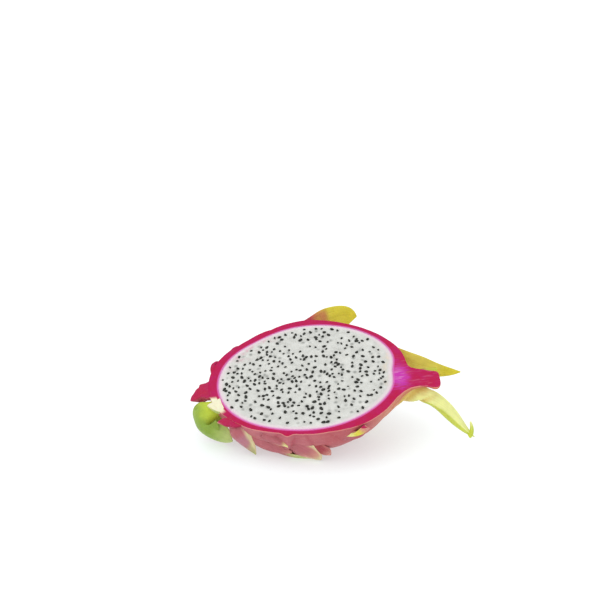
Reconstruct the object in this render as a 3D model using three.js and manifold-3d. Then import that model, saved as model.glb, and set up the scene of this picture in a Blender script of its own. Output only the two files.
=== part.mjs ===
// Half of a dragon fruit, cut lengthwise and lying on its skin with the cut face up and tilted.
// Two bodies: the rind with its scales, and the seeded flesh that fills it.
// Fruit frame, in millimetres: x runs from the stem end to the crown, v lies across the cut face,
// w stands out of the cut face, and the centre of the flesh's cut face is the origin.
import * as THREE from "three";
import { mergeVertices } from "three/addons/utils/BufferGeometryUtils.js";
import Module from "manifold-3d";

const wasm = await Module();
wasm.setup();

// Driving dimensions of the fruit
const fleshHalfLength = 51.5;
const fleshHalfWidth = 41.8;
const skinHalfLength = 57.5;
const skinHalfWidth = 46;
const plumpDepth = 0.885; // depth below the cut, as a share of the half-width there
const slimmerBy = 0.21; // how much of that share is gone where the body meets the neck
const neckEnd = 74.5;
const neckCap = 3.5; // length over which the blunt end of the neck rounds off
const wallGap = 0.3; // between the flesh and the rind
const underWall = 3; // rind left between the flesh and the flat spot
const fleshCrown = 0.8; // how far the cut flesh swells above the rim

// How the half lies
const tilt = THREE.MathUtils.degToRad(19); // cut face leans towards -Y
const pitch = THREE.MathUtils.degToRad(6.8); // crown end is raised
const flatDepth = 2.8; // the soft underside is pressed flat by this much

// Relief of the skin: a cushion behind each scale, with creases between cushions
const cushionHeight = 1.8;
const calmRim = 0.7; // share of that relief that is lost beside the cut
const calmReach = 0.4; // how far from the cut, as an angle
const creaseWidth = 5;
const cushionSetback = 7; // the cushion's middle lies this far behind the scale's root

// Seeds
const seedCount = 180;
const seedLength = 2.3;
const seedWidth = 1.4;
const seedSpacing = 3.1;

// Facets
const skinRings = 32;
const skinSides = 40;
const fleshRings = 20;
const fleshSides = 36;
const scaleSteps = 6;
const scaleStrips = 4;

const clamp = THREE.MathUtils.clamp;
const degrees = THREE.MathUtils.degToRad;
const smoothMax = (a, b, blend) => 0.5 * (a + b + Math.sqrt((a - b) ** 2 + blend ** 2));

// Depth of a section as a share of its half-width: full to the middle, then slimmer towards the crown
function depthShare(x) {
  return plumpDepth - slimmerBy * clamp(x / 38, 0, 1) ** 1.6;
}

// Half-width of the plump body, falling steeply below zero past its ends
function plump(x) {
  const share = x / skinHalfLength;
  return share ** 2 < 1 ? skinHalfWidth * Math.sqrt(1 - share ** 2) : (1 - Math.abs(share)) * 170;
}

// Change of the half-width at x from shallow swells and dents, each with a place, a height and a spread
function swellsAt(x, swells) {
  return swells.reduce(
    (sum, [at, height, spread]) => sum + height * Math.exp(-(((x - at) / spread) ** 2)),
    0,
  );
}

// Edges of the skin in the cut face, on the far side (+v) and the near side (-v); the neck leans near
function farEdge(x) {
  const body = plump(x) + swellsAt(x, [[-33, -2.2, 15], [2, 0.8, 12], [42, -2.6, 13]]);
  return x < 0 ? body : smoothMax(body, -3.6 - 0.365 * (x - 58.3), 2.5);
}

function nearEdge(x) {
  const body = plump(x) + swellsAt(x, [[-24, -1.6, 22], [-15.2, 2, 2.6], [30, 1.9, 13]]);
  const neck = 19 + swellsAt(x, [[71.5, 2.6, 4]]);
  return x < 0 ? body : smoothMax(body, neck, clamp(x / 6, 0, 7));
}

// Centre and half-width of the skin's section at x
function section(x) {
  const capShare = clamp((x - neckEnd + neckCap) / neckCap, 0, 1);
  const cap = (1 - capShare ** 4) ** 0.25;
  const far = farEdge(x);
  const near = nearEdge(x);
  return { centre: (far - near) / 2, halfWidth: Math.max(0.5 * (far + near) * cap, 0) };
}

// Smooth skin at x; the angle round it runs from the far side (0), below, to the near side (180 degrees)
function smoothSkin(x, angle, raise = 0) {
  const { centre, halfWidth } = section(x);
  return new THREE.Vector3(
    x,
    centre + (halfWidth + raise) * Math.cos(angle),
    -depthShare(x) * (halfWidth + raise) * Math.sin(angle),
  );
}

// Scales that stand in rows round the hidden underside: place along x, first angle, step and count
const scaleRows = [
  { x: -45, first: 40, step: 48, count: 2 },
  { x: -28, first: 22, step: 42, count: 3 },
  { x: -8, first: 42, step: 44, count: 2 },
  { x: 13, first: 24, step: 38, count: 3 },
  { x: 31, first: 42, step: 36, count: 2 },
  { x: 46, first: 102, step: 40, count: 1 },
];

// Outward direction of the smooth skin, and the direction along it to the crown
function skinAxes(x, angle) {
  const step = 0.5;
  const here = smoothSkin(x, angle);
  const along = smoothSkin(x + step, angle).sub(here).normalize();
  const round = smoothSkin(x, angle + 0.02).sub(here).normalize();
  const out = new THREE.Vector3().crossVectors(along, round).normalize();
  if (out.dot(new THREE.Vector3(0, here.y - section(x).centre, here.z)) < 0) out.negate();
  return { here, along, out };
}

// A scale of the rows: longer towards the crown, lying close to the skin
function rowScale(x, angleDegrees) {
  const angle = degrees(angleDegrees);
  const { here, along, out } = skinAxes(x, angle);
  const towardsCrown = (x + 50) / 100;
  const length = 17 + 15 * towardsCrown;
  const lift = 1.2 + 4.2 * towardsCrown;
  const at = (run, rise) => here.clone().addScaledVector(along, run * length).addScaledVector(out, rise);
  return {
    spine: [at(-0.25, -2.8), at(0.2, -0.4), at(0.6, 0.3 * lift), at(1, lift)],
    out: [out, out],
    width: 27 - 7 * towardsCrown,
    thick: 4.2,
    arch: [0.55, 0.5],
    root: { x, angle },
  };
}

// Scales that show from the near side; each spine passes through four points of the fruit frame,
// and the outer face turns from the first of its two directions to the second
const shownScales = [
  { // long pale scale that hangs from the near side of the neck
    spine: [[45, -19.5, -9.5], [66, -18, -11.8], [80, -27, -21.5], [90.4, -34.9, -30.8]],
    out: [[0, -0.9, -0.4], [0.4, -0.8, 0.3]], width: 15.5, thick: 5, arch: [0.7, 1.1], blunt: 1.45,
  },
  { // hook that stands up near its point
    spine: [[87.4, -34.2, -30], [89, -33.2, -28], [89.4, -31.4, -25.6], [89, -29.5, -23.5]],
    out: [[1, 0, 0], [1, 0, 0]], width: 5.6, thick: 2.4, arch: [0.3, 0.3], blunt: 1.6,
  },
  { // yellow scale behind the neck
    spine: [[42, 21, -9], [58, 12.5, -11], [73, 3.5, -11], [88, -3, -9.5]],
    out: [[0.1, 0.8, -0.6], [0.1, 0.75, -0.65]], width: 15, thick: 4, arch: [0.6, 0.5], blunt: 2.2,
  },
  { // yellow scale that stands off the far side
    spine: [[-7, 37, -8], [9, 47, -9], [22, 54, -8.5], [34, 54, -9]],
    out: [[-0.1, 0.7, -0.7], [-0.1, 0.62, -0.78]], width: 18, thick: 4, arch: [0.5, 0.3], blunt: 5.5,
  },
  { // green scale under the stem end
    spine: [[-52, -12, -9], [-62.5, -16.5, -11], [-58, -19.8, -16], [-47.2, -23.8, -21]],
    out: [[-0.75, -0.65, 0.05], [-0.5, -0.85, 0.05]], width: 21, thick: 5, arch: [0.5, 0.5], blunt: 8,
  },
  { // pink scale with a pale green edge beside it
    spine: [[-45, -24, -5], [-43, -31, -8], [-39, -33, -15], [-34.5, -34.5, -22.5]],
    out: [[-0.5, -0.8, 0.1], [-0.4, -0.9, 0.1]], width: 17, thick: 4, arch: [0.6, 0.7], blunt: 2,
  },
  { // low scale that lies close to the skin
    spine: [[-38, -26, -13], [-31, -32, -16.5], [-23, -36.5, -18.5], [-14, -40.6, -18]],
    out: [[0, -0.8, -0.6], [0, -0.8, -0.6]], width: 22, thick: 5, arch: [1, 1.2], blunt: 2.2,
  },
  { // small pale point below the rim
    spine: [[-29, -37.5, -3.5], [-23.5, -39.5, -5.5], [-19, -41.5, -7.5], [-15.6, -43.2, -10.5]],
    out: [[0, -0.9, 0.4], [0, -0.9, 0.4]], width: 7, thick: 2.6, arch: [0.5, 0.5], blunt: 2.2,
  },
  { // greenish scale that lies flat under the broad one
    spine: [[-30, -22, -24], [-18, -31.5, -26.2], [-8, -36.5, -26.8], [1.5, -40, -25.6]],
    out: [[0, -0.6, -0.8], [0, -0.6, -0.8]], width: 18, thick: 4.4, arch: [0.5, 0.5], blunt: 2.4,
  },
  { // broad pink scale that touches down in front
    spine: [[-20, -31, -9], [-12, -39.5, -13.5], [-4, -42, -19.5], [2, -42.6, -24.6]],
    out: [[0, -0.9, -0.3], [0, -0.9, -0.3]], width: 18, thick: 4.4, arch: [0.4, 0.3], blunt: 3.2,
  },
  { // rounded scale behind the broad one
    spine: [[-8, -33, -13], [-2, -39, -16.5], [3, -42, -19], [7.8, -43.2, -21]],
    out: [[0, -0.85, -0.5], [0, -0.85, -0.5]], width: 19, thick: 4.2, arch: [0.6, 0.5], blunt: 4.5,
  },
  { // scale at the near rim that ends in a fold
    spine: [[8, -36, -10], [15, -40.3, -10.8], [22, -43.5, -8.4], [28.6, -45.2, -3.4]],
    out: [[0, -0.9, -0.35], [0, -0.9, -0.35]], width: 13, thick: 3.8, arch: [0.7, 0.6], blunt: 3,
  },
  { // yellow point that is folded back from it
    spine: [[29.5, -43.6, -1.2], [26, -44.9, -3.6], [22.3, -44.6, -5.4], [17.5, -43.3, -7]],
    out: [[0, -0.9, -0.35], [0, -0.9, -0.35]], width: 6.5, thick: 2.4, arch: [0.4, 0.4], blunt: 1.5,
  },
  { // fleshy lobe at the stem end, cut through by the knife
    spine: [[-50, 0, -0.6], [-58, -1.5, -0.6], [-63, -3.8, -0.6], [-67.2, -7.3, -0.6]],
    out: [[-0.3, 0.95, 0], [-0.6, 0.8, 0]], width: 12, thick: 16.5, arch: [0.3, 0.3], blunt: 4,
  },
  { // pale stub of the stem, cut through with the rest
    spine: [[-45, -14, -0.6], [-51, -14, -0.6], [-54.5, -13.6, -0.6], [-58.5, -13, -0.6]],
    out: [[0, 1, 0], [0, 1, 0]], width: 11, thick: 14, arch: [0.3, 0.3], blunt: 4,
  },
  { // small lobe beside the stem end
    spine: [[-40, -26, -0.6], [-45.5, -27.5, -0.6], [-49.5, -27.2, -0.6], [-53.6, -26, -0.6]],
    out: [[0, -1, 0], [0, -1, 0]], width: 9, thick: 11, arch: [0.4, 0.4], blunt: 4,
  },
  { // first rolled nub on the far rim
    spine: [[-44, 22, -1], [-42.5, 28, -1], [-40.5, 31, -1], [-37.5, 32.5, -1]],
    out: [[-0.5, 0.8, 0], [-0.3, 0.9, 0]], width: 8, thick: 2.4, arch: [0.4, 0.5], blunt: 2.4,
  },
  { // second rolled nub on the far rim
    spine: [[-53, 10, -1], [-54.5, 16, -1], [-53.5, 20, -1], [-50.5, 21.5, -1]],
    out: [[-0.8, 0.5, 0], [-0.6, 0.7, 0]], width: 8, thick: 2.6, arch: [0.4, 0.5], blunt: 2.4,
  },
];

const toVector = ([x, v, w]) => new THREE.Vector3(x, v, w);

// The cubic curve that passes through four points at even steps
function curveThrough([p, q, r, s]) {
  const mix = (...weights) => [p, q, r, s].reduce(
    (sum, point, k) => sum.addScaledVector(point, weights[k] / 6),
    new THREE.Vector3(),
  );
  return new THREE.CubicBezierCurve3(p, mix(-5, 18, -9, 2), mix(2, -9, 18, -5), s);
}

// Angle round the skin of a point near it
function angleOf(point) {
  return Math.atan2(-point.z / depthShare(point.x), point.y - section(point.x).centre);
}

function allScales() {
  const rows = scaleRows.flatMap(({ x, first, step, count }) =>
    Array.from({ length: count }, (_, k) => rowScale(x, first + step * k)));
  const shown = shownScales.map((scale) => {
    const spine = scale.spine.map(toVector);
    const root = { x: spine[1].x, angle: angleOf(spine[1]) };
    return { ...scale, spine, out: scale.out.map(toVector), root };
  });
  return [...shown, ...rows];
}

const scales = allScales();
const cushions = scales
  .filter(({ root }) => Math.abs(root.x) < skinHalfLength - 4)
  .map(({ root }) => ({ x: root.x - cushionSetback, angle: root.angle }));

// Height of the relief: full in the middle of a cushion and low in the crease between the two nearest
function relief(x, angle) {
  const { halfWidth } = section(x);
  const under = Math.abs(angle) > Math.PI ? 2 * Math.PI - Math.abs(angle) : angle;
  const gaps = cushions
    .map((c) => Math.hypot(x - c.x, 0.85 * halfWidth * (under - c.angle)))
    .sort((a, b) => a - b);
  const swell = 1 - Math.exp(-(gaps[1] - gaps[0]) / creaseWidth);
  const toRim = Math.exp(-((under / calmReach) ** 2)) + Math.exp(-(((Math.PI - under) / calmReach) ** 2));
  const fade = clamp(halfWidth / 24, 0, 1) ** 2 * (1 - calmRim * toRim);
  return cushionHeight * fade * (swell - 0.8);
}

// A closed solid from rings of points between two poles
function ringSolid(rings, start, end) {
  const points = [start, ...rings.flat(), end];
  const sides = rings[0].length;
  const index = [];
  const at = (ring, side) => 1 + ring * sides + (side % sides);
  for (let side = 0; side < sides; side += 1) {
    index.push(0, at(0, side), at(0, side + 1));
    index.push(points.length - 1, at(rings.length - 1, side + 1), at(rings.length - 1, side));
    for (let ring = 0; ring + 1 < rings.length; ring += 1) {
      index.push(at(ring, side), at(ring + 1, side), at(ring + 1, side + 1));
      index.push(at(ring, side), at(ring + 1, side + 1), at(ring, side + 1));
    }
  }
  return solidFrom(points, index);
}

function solidFrom(points, index) {
  const geometry = new THREE.BufferGeometry().setFromPoints(points);
  geometry.setIndex(index);
  return solidOf(geometry);
}

// A three.js geometry as a solid, turned outwards if its faces point in
function solidOf(source) {
  const bare = source.clone();
  bare.deleteAttribute("normal");
  bare.deleteAttribute("uv");
  const geometry = mergeVertices(bare, 1e-4);
  const vertProperties = new Float32Array(geometry.attributes.position.array);
  const triVerts = new Uint32Array(geometry.index.array);
  const made = new wasm.Manifold(new wasm.Mesh({ numProp: 3, vertProperties, triVerts }));
  if (made.volume() > 0) return made;
  for (let i = 0; i < triVerts.length; i += 3) {
    [triVerts[i], triVerts[i + 1]] = [triVerts[i + 1], triVerts[i]];
  }
  return new wasm.Manifold(new wasm.Mesh({ numProp: 3, vertProperties, triVerts }));
}

// A scale: an arched blade along its spine, thick at the root and thin at its edges and point
function scaleSolid({ spine, out, width, thick, arch, blunt = 1.9 }) {
  const curve = curveThrough(spine);
  const edge = 0.9;
  const faces = { outer: [], inner: [] };
  for (let i = 0; i <= scaleSteps; i += 1) {
    const s = i / scaleSteps;
    const middle = curve.getPoint(s);
    const along = curve.getTangent(s);
    const facing = out[0].clone().lerp(out[1], s);
    const up = facing.addScaledVector(along, -facing.dot(along)).normalize();
    const side = new THREE.Vector3().crossVectors(along, up);
    const half = 0.5 * width * Math.max((1 - s ** blunt) ** 0.8, 0.07);
    const bow = THREE.MathUtils.lerp(arch[0], arch[1], s);
    for (let j = 0; j <= scaleStrips; j += 1) {
      const t = (2 * j) / scaleStrips - 1;
      const body = edge + thick * (1 - s) ** 0.8 * (1 - t * t);
      const base = middle.clone()
        .addScaledVector(side, (half * Math.sin(t * bow)) / bow)
        .addScaledVector(up, (-half * (1 - Math.cos(t * bow))) / bow);
      faces.outer.push(base.clone().addScaledVector(up, body / 2));
      faces.inner.push(base.clone().addScaledVector(up, -body / 2));
    }
  }
  const points = [...faces.outer, ...faces.inner];
  const strips = scaleStrips + 1;
  const layer = strips * (scaleSteps + 1);
  const index = [];
  const quad = (a, b, c, d) => index.push(a, b, c, a, c, d);
  for (let i = 0; i < scaleSteps; i += 1) {
    for (let j = 0; j < scaleStrips; j += 1) {
      const a = i * strips + j;
      quad(a, a + 1, a + strips + 1, a + strips);
      index.push(layer + a, layer + a + strips + 1, layer + a + 1);
      index.push(layer + a, layer + a + strips, layer + a + strips + 1);
    }
    const near = i * strips;
    const far = near + scaleStrips;
    quad(near, near + strips, layer + near + strips, layer + near);
    quad(far, layer + far, layer + far + strips, far + strips);
  }
  const last = scaleSteps * strips;
  for (let j = 0; j < scaleStrips; j += 1) {
    quad(j, layer + j, layer + j + 1, j + 1);
    quad(last + j, last + j + 1, layer + last + j + 1, layer + last + j);
  }
  return solidFrom(points, index);
}

const rest = new THREE.Matrix4().makeRotationY(-pitch).multiply(new THREE.Matrix4().makeRotationX(tilt));
const blockSize = 300;

// A block whose lower face is the knife's cut
function aboveCut() {
  const block = new THREE.BoxGeometry(blockSize, blockSize, blockSize);
  block.translate(0, 0, blockSize / 2);
  return solidOf(block);
}

// A block whose upper face is the surface that the half lies on
function belowFloor(floor) {
  const block = new THREE.BoxGeometry(blockSize, blockSize, blockSize);
  block.translate(0, 0, floor - blockSize / 2);
  block.applyMatrix4(rest.clone().invert());
  return solidOf(block);
}

function skinRingsOf() {
  const rings = [];
  for (let i = 1; i < skinRings; i += 1) {
    const x = -skinHalfLength + ((neckEnd + skinHalfLength) * (1 - Math.cos((Math.PI * i) / skinRings))) / 2;
    rings.push(Array.from({ length: skinSides }, (_, k) => {
      const angle = (2 * Math.PI * k) / skinSides;
      return smoothSkin(x, angle, relief(x, angle));
    }));
  }
  return rings;
}

// Share of the ellipse that the flesh's outline reaches at an angle in the cut face, with its three dents
function fleshReach(angle) {
  const dents = [[-6, 0.05, 13], [122, 0.04, 20], [250, 0.022, 22]];
  return dents.reduce((reach, [at, depth, width]) => {
    const away = ((THREE.MathUtils.radToDeg(angle) - at + 540) % 360) - 180;
    return reach - depth * Math.exp(-((away / width) ** 2));
  }, 1);
}

// The flesh as a whole ovoid, grown by a margin
function fleshOvoid(margin) {
  const rings = [];
  for (let i = 1; i < fleshRings; i += 1) {
    const turn = (Math.PI * i) / fleshRings;
    rings.push(Array.from({ length: fleshSides }, (_, k) => {
      const angle = (2 * Math.PI * k) / fleshSides;
      const across = Math.sin(turn) * Math.cos(angle);
      const reach = fleshReach(Math.atan2(across, -Math.cos(turn)));
      const x = -(fleshHalfLength + margin) * Math.cos(turn) * reach;
      const down = (fleshHalfWidth + margin) * depthShare(x) * Math.sin(turn) * Math.sin(angle) * reach;
      return new THREE.Vector3(x, (fleshHalfWidth + margin) * across * reach, -down);
    }));
  }
  const reachAt = (angle) => fleshReach(angle) * (fleshHalfLength + margin);
  return ringSolid(rings, new THREE.Vector3(-reachAt(Math.PI), 0, 0), new THREE.Vector3(reachAt(0), 0, 0));
}

// Repeatable random numbers from 0 to 1
function randomFrom(seed) {
  let state = seed;
  return () => {
    state = (state * 1664525 + 1013904223) % 4294967296;
    return state / 4294967296;
  };
}

// Height of the cut flesh above the rim: a shallow swell that falls to nothing at the edge
function fleshSwell(x, v) {
  const reach = (x / fleshHalfLength) ** 2 + (v / fleshHalfWidth) ** 2;
  return fleshCrown * clamp(1 - reach ** 2, 0, 1);
}

// The swell as a thin lens that lies on the cut
function fleshLens() {
  const rings = 4;
  const sides = fleshSides;
  const sunk = 3;
  const layers = Array.from({ length: rings }, (_, i) => Array.from({ length: sides }, (_, k) => {
    const angle = (2 * Math.PI * k) / sides;
    const share = 0.985 * Math.sin((Math.PI / 2) * ((i + 1) / rings));
    const x = share * fleshHalfLength * fleshReach(angle) * Math.cos(angle);
    const v = share * fleshHalfWidth * fleshReach(angle) * Math.sin(angle);
    return new THREE.Vector3(x, v, fleshSwell(x, v));
  }));
  layers.push(layers[rings - 1].map((point) => new THREE.Vector3(0.93 * point.x, 0.93 * point.y, -sunk)));
  return ringSolid(layers, new THREE.Vector3(0, 0, fleshCrown), new THREE.Vector3(0, 0, -sunk));
}

// Seeds: pips half sunk in the cut, each turned its own way and clear of the others
function seedSolids() {
  const random = randomFrom(41);
  const placed = [];
  const pips = [];
  while (placed.length < seedCount) {
    const x = (2 * random() - 1) * fleshHalfLength;
    const v = (2 * random() - 1) * fleshHalfWidth;
    const turn = random() * Math.PI;
    const inside = Math.hypot(x / fleshHalfLength, v / fleshHalfWidth) < 0.92 * fleshReach(Math.atan2(v, x));
    if (!inside || placed.some(([a, b]) => Math.hypot(a - x, b - v) < seedSpacing)) continue;
    placed.push([x, v]);
    const pip = new THREE.SphereGeometry(0.5, 6, 2);
    pip.scale(seedWidth, seedLength, 1.9);
    pip.rotateZ(turn);
    pip.translate(x, v, fleshSwell(x, v) - 0.15);
    pips.push(solidOf(pip));
  }
  return pips;
}

function meshOf(name, solid, colour, roughness) {
  const { vertProperties, triVerts } = solid.getMesh();
  const geometry = new THREE.BufferGeometry();
  geometry.setAttribute("position", new THREE.BufferAttribute(vertProperties, 3));
  geometry.setIndex(new THREE.BufferAttribute(triVerts, 1));
  geometry.computeVertexNormals();
  const material = new THREE.MeshStandardMaterial({ color: colour, roughness, metalness: 0 });
  const mesh = new THREE.Mesh(geometry, material);
  mesh.name = name;
  return mesh;
}

// Lowest point of the bare skin once the half lies at rest, raised by the flat that its weight presses
function floorLevel(rings) {
  const lowest = Math.min(...rings.flat().map((point) => point.clone().applyMatrix4(rest).z));
  return lowest + flatDepth;
}

function buildHalf() {
  const rings = skinRingsOf();
  const skin = ringSolid(rings, smoothSkin(-skinHalfLength, 0), smoothSkin(neckEnd, 0));
  const cut = aboveCut();
  const floor = floorLevel(rings);
  const cavity = fleshOvoid(wallGap).subtract(belowFloor(floor + underWall));
  const rindSolid = scales
    .reduce((body, scale) => body.add(scaleSolid(scale)), skin)
    .subtract(cavity)
    .subtract(cut)
    .subtract(belowFloor(floor));
  const fleshSolid = seedSolids().reduce(
    (body, seed) => body.add(seed),
    fleshOvoid(0).subtract(belowFloor(floor + underWall + wallGap)).subtract(cut).add(fleshLens()),
  );
  const half = new THREE.Group();
  half.add(meshOf("rind", rindSolid, 0xc02a5c, 0.45));
  half.add(meshOf("flesh", fleshSolid, 0xe2e3dd, 0.3));
  half.applyMatrix4(rest);
  return half;
}

const half = buildHalf();
const size = new THREE.Box3().setFromObject(half, true);
const middle = size.getCenter(new THREE.Vector3());
half.position.set(-middle.x, -middle.y, -size.min.z);

const dragonFruitHalf = new THREE.Group();
dragonFruitHalf.add(half);

export default dragonFruitHalf;
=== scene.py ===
import math

import bmesh
import bpy
import numpy as np
from mathutils import Matrix, Vector


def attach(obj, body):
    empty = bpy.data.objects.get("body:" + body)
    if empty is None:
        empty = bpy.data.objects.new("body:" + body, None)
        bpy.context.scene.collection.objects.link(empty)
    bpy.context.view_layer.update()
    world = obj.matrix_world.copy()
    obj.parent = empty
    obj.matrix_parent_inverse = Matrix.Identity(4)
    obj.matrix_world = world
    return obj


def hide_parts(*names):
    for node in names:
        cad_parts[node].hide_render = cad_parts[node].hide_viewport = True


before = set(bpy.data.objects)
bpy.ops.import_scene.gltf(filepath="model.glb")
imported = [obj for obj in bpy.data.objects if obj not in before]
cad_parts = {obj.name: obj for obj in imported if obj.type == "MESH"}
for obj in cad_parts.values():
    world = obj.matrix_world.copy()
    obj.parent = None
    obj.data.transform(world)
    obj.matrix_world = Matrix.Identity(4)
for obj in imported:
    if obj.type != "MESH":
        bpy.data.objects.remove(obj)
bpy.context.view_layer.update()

# Half of a dragon fruit, lying on its skin. All shapes are worked out in millimetres in the fruit's own
# frame: x from the stem end to the crown, v across the cut face, w out of the cut face.

resting = {
    "faceCentre": (-14.041, -7.292, 38.157),  # centre of the flesh's cut face above the table, in mm
    "tilt": 19.0,  # degrees that the cut face leans to the near side
    "pitch": 6.8,  # degrees that the crown end is raised
}


def restMatrix():
    # turn about x by the tilt, then about y by the pitch
    t, p = math.radians(resting["tilt"]), math.radians(resting["pitch"])
    lean = np.array([[1, 0, 0], [0, math.cos(t), -math.sin(t)], [0, math.sin(t), math.cos(t)]])
    lift = np.array([[math.cos(p), 0, -math.sin(p)], [0, 1, 0], [math.sin(p), 0, math.cos(p)]])
    return lift @ lean


turn = restMatrix()


def toTable(points, lowest=0.0):
    # fruit frame to metres on the table; whatever would reach lower than lowest (in mm) is pressed flat there
    placed = points @ turn.T + np.array(resting["faceCentre"])
    placed[..., 2] = np.maximum(placed[..., 2], lowest)
    return placed / 1000


def paint(r, g, b):
    # a colour as a screen shows it, 0 to 255, turned to the linear values that materials use
    c = np.array([r, g, b]) / 255
    return tuple(np.where(c <= 0.04045, c / 12.92, ((c + 0.055) / 1.055) ** 2.4))


def softMax(a, b, blend):
    # the larger of two values, rounded off over the given width where they meet
    return 0.5 * (a + b + np.sqrt((a - b) ** 2 + blend ** 2))


def bell(d, spread):
    return np.exp(-(d / spread) ** 2)


def ease(low, high, value):
    # rises from 0 to 1 between low and high, flat at both ends
    s = np.clip((value - low) / (high - low), 0, 1)
    return s * s * (3 - 2 * s)


def smoothNoise(points, cell, seed):
    # random heights on a cubic lattice, eased and mixed between its eight corners, from -1 to 1;
    # cell is the lattice's step in mm, and seed picks the pattern
    table = np.random.default_rng(seed).uniform(-1, 1, 4096)
    place = points / cell
    base = np.floor(place).astype(np.int64)
    f = place - base
    f = f * f * (3 - 2 * f)
    total = np.zeros(points.shape[:-1])
    for corner in np.ndindex(2, 2, 2):
        at = base + np.array(corner)
        slot = (at[..., 0] * 73856093 ^ at[..., 1] * 19349663 ^ at[..., 2] * 83492791) % 4096
        total += table[slot] * np.prod(np.where(np.array(corner), f, 1 - f), axis=-1)
    return total


# Meshes from grids

def gridFaces(rows, columns, closed=False):
    # four-sided faces of a grid of points, row by row; closed joins the last column to the first
    r, c = np.meshgrid(np.arange(rows - 1), np.arange(columns if closed else columns - 1), indexing="ij")
    this, following = r * columns, (r + 1) * columns
    d = (c + 1) % columns
    return np.stack([this + c, this + d, following + d, following + c], -1).reshape(-1, 4)



def makePiece(name, points, faces, attributes, materials, materialIndex=None, sharp=None, weld=None):
    # one object from points in metres, faces, and named values or colours for each point; sharp is the
    # angle in degrees from which an edge stays sharp, weld the distance at which points are joined
    mesh = bpy.data.meshes.new(name)
    mesh.from_pydata(points.reshape(-1, 3), [], faces if isinstance(faces, list) else faces.tolist())
    for key, values in attributes.items():
        colour = values.ndim == 2
        layer = mesh.attributes.new(key, "FLOAT_COLOR" if colour else "FLOAT", "POINT")
        if colour:
            values = np.concatenate([values, np.ones((len(values), 1))], 1)
        layer.data.foreach_set("color" if colour else "value", values.astype(np.float32).ravel())
    for material in materials:
        mesh.materials.append(material)
    if materialIndex is not None:
        mesh.polygons.foreach_set("material_index", materialIndex.astype(np.int32))
    if weld:
        tidyMesh(mesh, weld)
    mesh.shade_smooth()
    if sharp:
        mesh.set_sharp_from_angle(angle=math.radians(sharp))
    mesh.update()
    piece = bpy.data.objects.new(name, mesh)
    bpy.context.scene.collection.objects.link(piece)
    return piece


def tidyMesh(mesh, distance):
    # joins points that lie together, drops faces with no area and turns every face outwards
    bm = bmesh.new()
    bm.from_mesh(mesh)
    bmesh.ops.remove_doubles(bm, verts=bm.verts, dist=distance)
    bmesh.ops.dissolve_degenerate(bm, edges=bm.edges, dist=distance / 4)
    bmesh.ops.recalc_face_normals(bm, faces=bm.faces)
    bm.to_mesh(mesh)
    bm.free()


# The skin: an oval body that narrows to a blunt neck at the crown end

body = {
    "halfLength": 57.5,
    "halfWidth": 46.0,
    "endFall": 170.0,  # how steeply the half-width falls below zero past the ends
    "plumpDepth": 0.885,  # depth under the cut as a share of the half-width
    "slimmerBy": 0.21,  # how much of that share is gone near the neck
    "slimmestFrom": 38.0,
    "slimCurve": 1.6,
    "farSwells": [(-33, -2.2, 15), (2, 0.8, 12), (42, -2.6, 13)],  # place along x, height, spread
    "nearSwells": [(-24, -1.6, 22), (-15.2, 2.0, 2.6), (30, 1.9, 13)],
    "farNeck": (58.3, -3.6, -0.365),  # place along x, the edge there, slope
    "farBlend": 2.5,  # how softly the oval runs into the neck
    "nearNeck": 19.0,
    "nearNeckSwells": [(71.5, 2.6, 4)],
    "nearBlend": 7.0,
    "neckEnd": 74.5,
    "neckCap": 3.5,
    "cushionHeight": 1.8,  # relief of the skin behind each scale
    "cushionSetback": 7.0,
    "creaseWidth": 5.0,
    "calmRim": 0.7,  # share of the relief that is lost beside the cut
    "calmReach": 0.4,  # how far from the cut, as an angle
    "unevenness": (0.5, 13.0),  # slow bumps: height and size
    "grain": (0.12, 3.5),
    "wrinkles": (0.3, 23),  # at the neck: height, and waves per radian round it
    "wrinkledFrom": (38, 52),
    "sharpFrom": 42,  # degrees
    "rings": 300,
    "sides": 132,
}


def depthShare(x):
    # full to the middle, then slimmer towards the crown
    slim = np.clip(x / body["slimmestFrom"], 0, 1) ** body["slimCurve"]
    return body["plumpDepth"] - body["slimmerBy"] * slim


def plump(x):
    # half-width of an ellipse, falling steeply below zero past its ends
    share = x / body["halfLength"]
    oval = body["halfWidth"] * np.sqrt(np.clip(1 - share ** 2, 0, None))
    return np.where(np.abs(share) < 1, oval, (1 - np.abs(share)) * body["endFall"])


def swells(x, table):
    # shallow swells and dents along x, each with a place, a height and a spread
    return sum(height * bell(x - at, spread) for at, height, spread in table)


def farEdge(x):
    # the oval, and past the middle the straight far side of the neck
    wide = plump(x) + swells(x, body["farSwells"])
    at, width, slope = body["farNeck"]
    return np.where(x < 0, wide, softMax(wide, width + slope * (x - at), body["farBlend"]))


def nearEdge(x):
    # the oval, and past the middle the near side of the neck; the blend grows from nothing there
    wide = plump(x) + swells(x, body["nearSwells"])
    neck = body["nearNeck"] + swells(x, body["nearNeckSwells"])
    return np.where(x < 0, wide, softMax(wide, neck, np.clip(x / 6, 0, body["nearBlend"])))


def section(x):
    # centre and half-width of the body across x; the neck's blunt end closes over its last millimetres
    cap = (1 - np.clip((x - body["neckEnd"] + body["neckCap"]) / body["neckCap"], 0, 1) ** 4) ** 0.25
    far, near = farEdge(x), nearEdge(x)
    return (far - near) / 2, np.maximum(0.5 * (far + near) * cap, 0)


def skinPoint(x, angle, rise=0.0):
    # a half ring under the cut: across by the cosine and down by the sine of the angle from the far rim
    centre, half = section(x)
    across = centre + (half + rise) * np.cos(angle)
    return np.stack(np.broadcast_arrays(x, across, -depthShare(x) * (half + rise) * np.sin(angle)), -1)


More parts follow.
